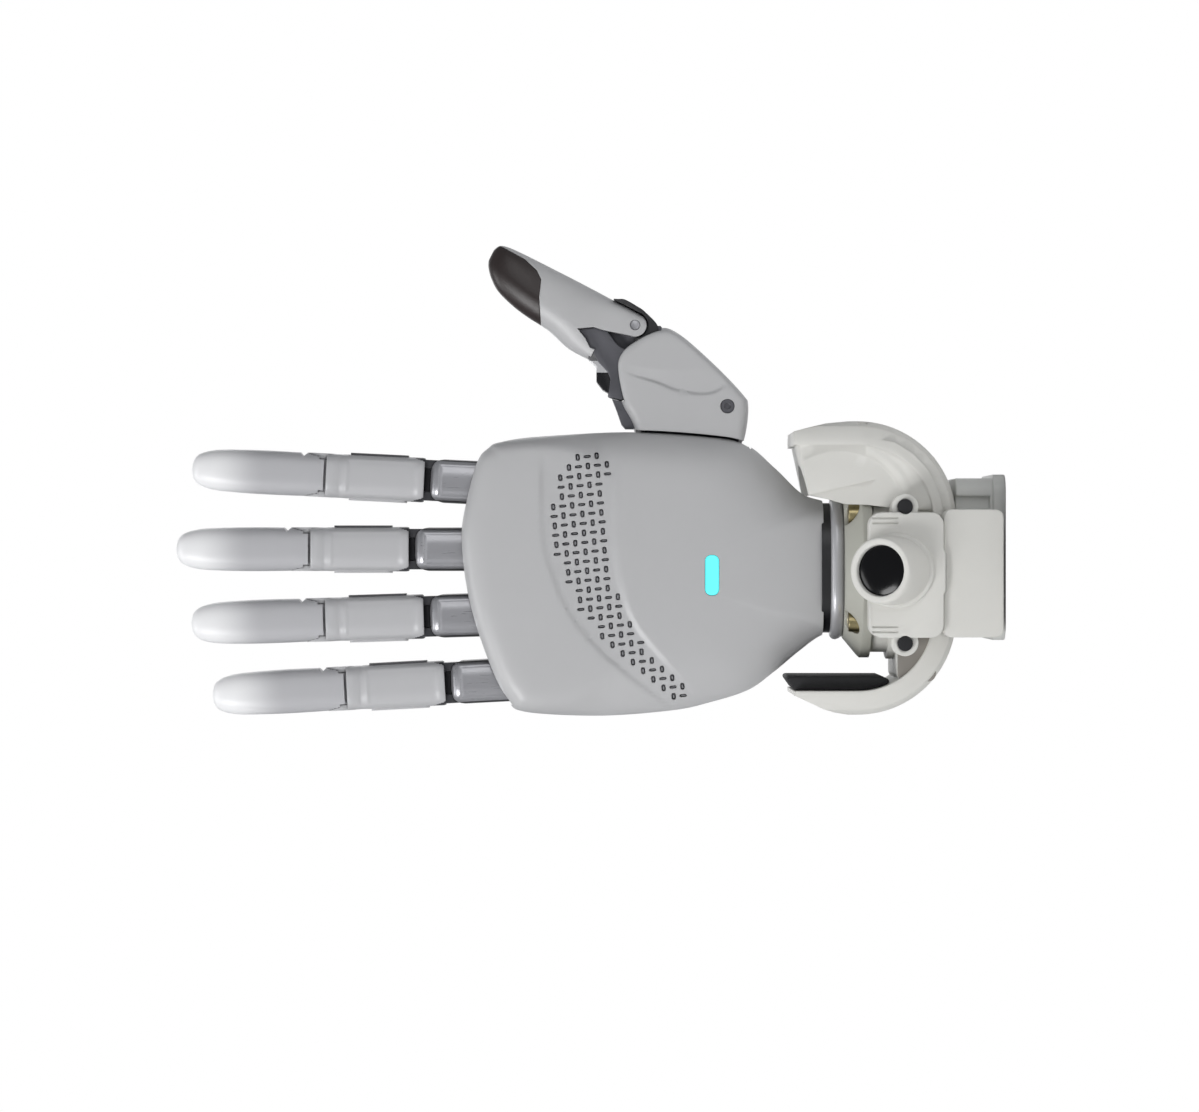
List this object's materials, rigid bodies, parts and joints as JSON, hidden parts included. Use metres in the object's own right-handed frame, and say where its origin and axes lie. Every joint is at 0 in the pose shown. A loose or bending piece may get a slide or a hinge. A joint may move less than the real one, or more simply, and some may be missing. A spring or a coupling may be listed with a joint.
{
  "type": "robot hand",
  "caption": "Left dexterous robot hand with coupled curling fingers, an opposing thumb, a rolling wrist and a guarded arm end with a camera.",
  "frame": {"origin": "centre of the centring bore in the arm's mounting face", "axes": "+Z from the arm towards the fingertips, +X towards the thumb, -Y out of the back of the hand"},
  "size_m": [0.151, 0.0848, 0.2645],
  "materials": {
    "arm_metal": "satin grey paint",
    "wrist_white": "warm white moulding",
    "black_rubber": "soft black rubber",
    "thumb_rubber": "dark brown rubber, slightly shiny",
    "steel": "ground steel",
    "brass": "worn brass",
    "bright_trim": "bright ring",
    "lens_glass": "deep black lens",
    "hand_shell": "satin light grey",
    "tip_shell": "satin near-white grey",
    "link_metal": "satin grey metal",
    "dark_metal": "dark grey metal",
    "black_plastic": "black plastic",
    "grille_mesh": "dark grille backing",
    "led": "lit cyan window",
    "circuit": "green circuit board"
  },
  "bodies": {
    "arm": {"arm_link": "arm_metal", "arm_cover": "wrist_white", "wrist_guard": "wrist_white", "guard_pad": "black_rubber", "wrist_drum": "wrist_white", "wrist_bearing": "steel", "camera_pod": "wrist_white", "camera_barrel": "wrist_white", "camera_lens": "lens_glass", "pod_plugs": "black_rubber"},
    "palm": {"wrist_flange": "wrist_white", "flange_screws": "brass", "wrist_collar": "bright_trim", "collar_seal": "black_rubber", "palm_frame": "dark_metal", "palm_shell": "hand_shell", "palm_cover": "hand_shell", "sensor_grille": "grille_mesh", "status_led": "led", "finger_motors": "steel", "thumb_motor": "steel", "control_board": "circuit", "knuckle_pins": "steel", "thumb_axle": "steel"},
    "index_base": {"index_proximal": "link_metal", "index_middle_pin": "steel"},
    "index_mid": {"index_middle": "hand_shell", "index_end_pin": "steel"},
    "index_tip": {"index_distal": "tip_shell", "index_pad": "black_rubber"},
    "middle_base": {"middle_proximal": "link_metal", "middle_middle_pin": "steel"},
    "middle_mid": {"middle_middle": "hand_shell", "middle_end_pin": "steel"},
    "middle_tip": {"middle_distal": "tip_shell", "middle_pad": "black_rubber"},
    "ring_base": {"ring_proximal": "link_metal", "ring_middle_pin": "steel"},
    "ring_mid": {"ring_middle": "hand_shell", "ring_end_pin": "steel"},
    "ring_tip": {"ring_distal": "tip_shell", "ring_pad": "black_rubber"},
    "little_base": {"little_proximal": "link_metal", "little_middle_pin": "steel"},
    "little_mid": {"little_middle": "hand_shell", "little_end_pin": "steel"},
    "little_tip": {"little_distal": "tip_shell", "little_pad": "black_rubber"},
    "thumb_lower": {"thumb_barrel": "dark_metal", "thumb_shell": "hand_shell", "thumb_frame": "dark_metal", "thumb_screw": "dark_metal", "thumb_cap": "black_plastic", "thumb_hinge_pin": "steel"},
    "thumb_upper": {"thumb_tip": "hand_shell", "thumb_bone": "dark_metal", "thumb_pad": "thumb_rubber", "thumb_link": "black_plastic"}
  },
  "joints": [
    {"name": "wrist_roll", "type": "hinge", "parent": "arm", "child": "palm", "pos_m": [0, 0, 0.0424], "axis": [0, 0, 1], "range_deg": [-90, 90]},
    {"name": "index_knuckle", "type": "hinge", "parent": "palm", "child": "index_base", "pos_m": [0.0266, 0, 0.1529], "axis": [-0.9988, 0, 0.0489], "range_deg": [0, 80]},
    {"name": "index_middle_joint", "type": "hinge", "parent": "index_base", "child": "index_mid", "pos_m": [0.02811, 0, 0.18386], "axis": [-0.9988, 0, 0.0489], "range_deg": [0, 88]},
    {"name": "index_end_joint", "type": "hinge", "parent": "index_mid", "child": "index_tip", "pos_m": [0.02979, 0, 0.21822], "axis": [-0.9988, 0, 0.0489], "range_deg": [0, 33.6]},
    {"name": "middle_knuckle", "type": "hinge", "parent": "palm", "child": "middle_base", "pos_m": [0.006, 0, 0.1578], "axis": [-1, 0, 0], "range_deg": [0, 80]},
    {"name": "middle_middle_joint", "type": "hinge", "parent": "middle_base", "child": "middle_mid", "pos_m": [0.006, 0, 0.1888], "axis": [-1, 0, 0], "range_deg": [0, 88]},
    {"name": "middle_end_joint", "type": "hinge", "parent": "middle_mid", "child": "middle_tip", "pos_m": [0.006, 0, 0.2232], "axis": [-1, 0, 0], "range_deg": [0, 33.6]},
    {"name": "ring_knuckle", "type": "hinge", "parent": "palm", "child": "ring_base", "pos_m": [-0.0146, 0, 0.153], "axis": [-0.9995, 0, -0.0314], "range_deg": [0, 80]},
    {"name": "ring_middle_joint", "type": "hinge", "parent": "ring_base", "child": "ring_mid", "pos_m": [-0.01557, 0, 0.18399], "axis": [-0.9995, 0, -0.0314], "range_deg": [0, 88]},
    {"name": "ring_end_joint", "type": "hinge", "parent": "ring_mid", "child": "ring_tip", "pos_m": [-0.01665, 0, 0.21837], "axis": [-0.9995, 0, -0.0314], "range_deg": [0, 33.6]},
    {"name": "little_knuckle", "type": "hinge", "parent": "palm", "child": "little_base", "pos_m": [-0.0352, 0, 0.1463], "axis": [-0.9985, 0, -0.0541], "range_deg": [0, 80]},
    {"name": "little_middle_joint", "type": "hinge", "parent": "little_base", "child": "little_mid", "pos_m": [-0.03688, 0, 0.17725], "axis": [-0.9985, 0, -0.0541], "range_deg": [0, 88]},
    {"name": "little_end_joint", "type": "hinge", "parent": "little_mid", "child": "little_tip", "pos_m": [-0.03874, 0, 0.2116], "axis": [-0.9985, 0, -0.0541], "range_deg": [0, 33.6]},
    {"name": "thumb_swing", "type": "hinge", "parent": "palm", "child": "thumb_lower", "pos_m": [0.034, 0.004, 0.1], "axis": [0, 0, -1], "range_deg": [-80, 0]},
    {"name": "thumb_bend", "type": "hinge", "parent": "thumb_lower", "child": "thumb_upper", "pos_m": [0.0779, 0.004, 0.1173], "axis": [0, -1, 0], "range_deg": [0, 38]}
  ],
  "couplings": [
    {"joint": "index_middle_joint", "follows": "index_knuckle", "ratio": 1.1},
    {"joint": "index_end_joint", "follows": "index_knuckle", "ratio": 0.42},
    {"joint": "middle_middle_joint", "follows": "middle_knuckle", "ratio": 1.1},
    {"joint": "middle_end_joint", "follows": "middle_knuckle", "ratio": 0.42},
    {"joint": "ring_middle_joint", "follows": "ring_knuckle", "ratio": 1.1},
    {"joint": "ring_end_joint", "follows": "ring_knuckle", "ratio": 0.42},
    {"joint": "little_middle_joint", "follows": "little_knuckle", "ratio": 1.1},
    {"joint": "little_end_joint", "follows": "little_knuckle", "ratio": 0.42}
  ]
}
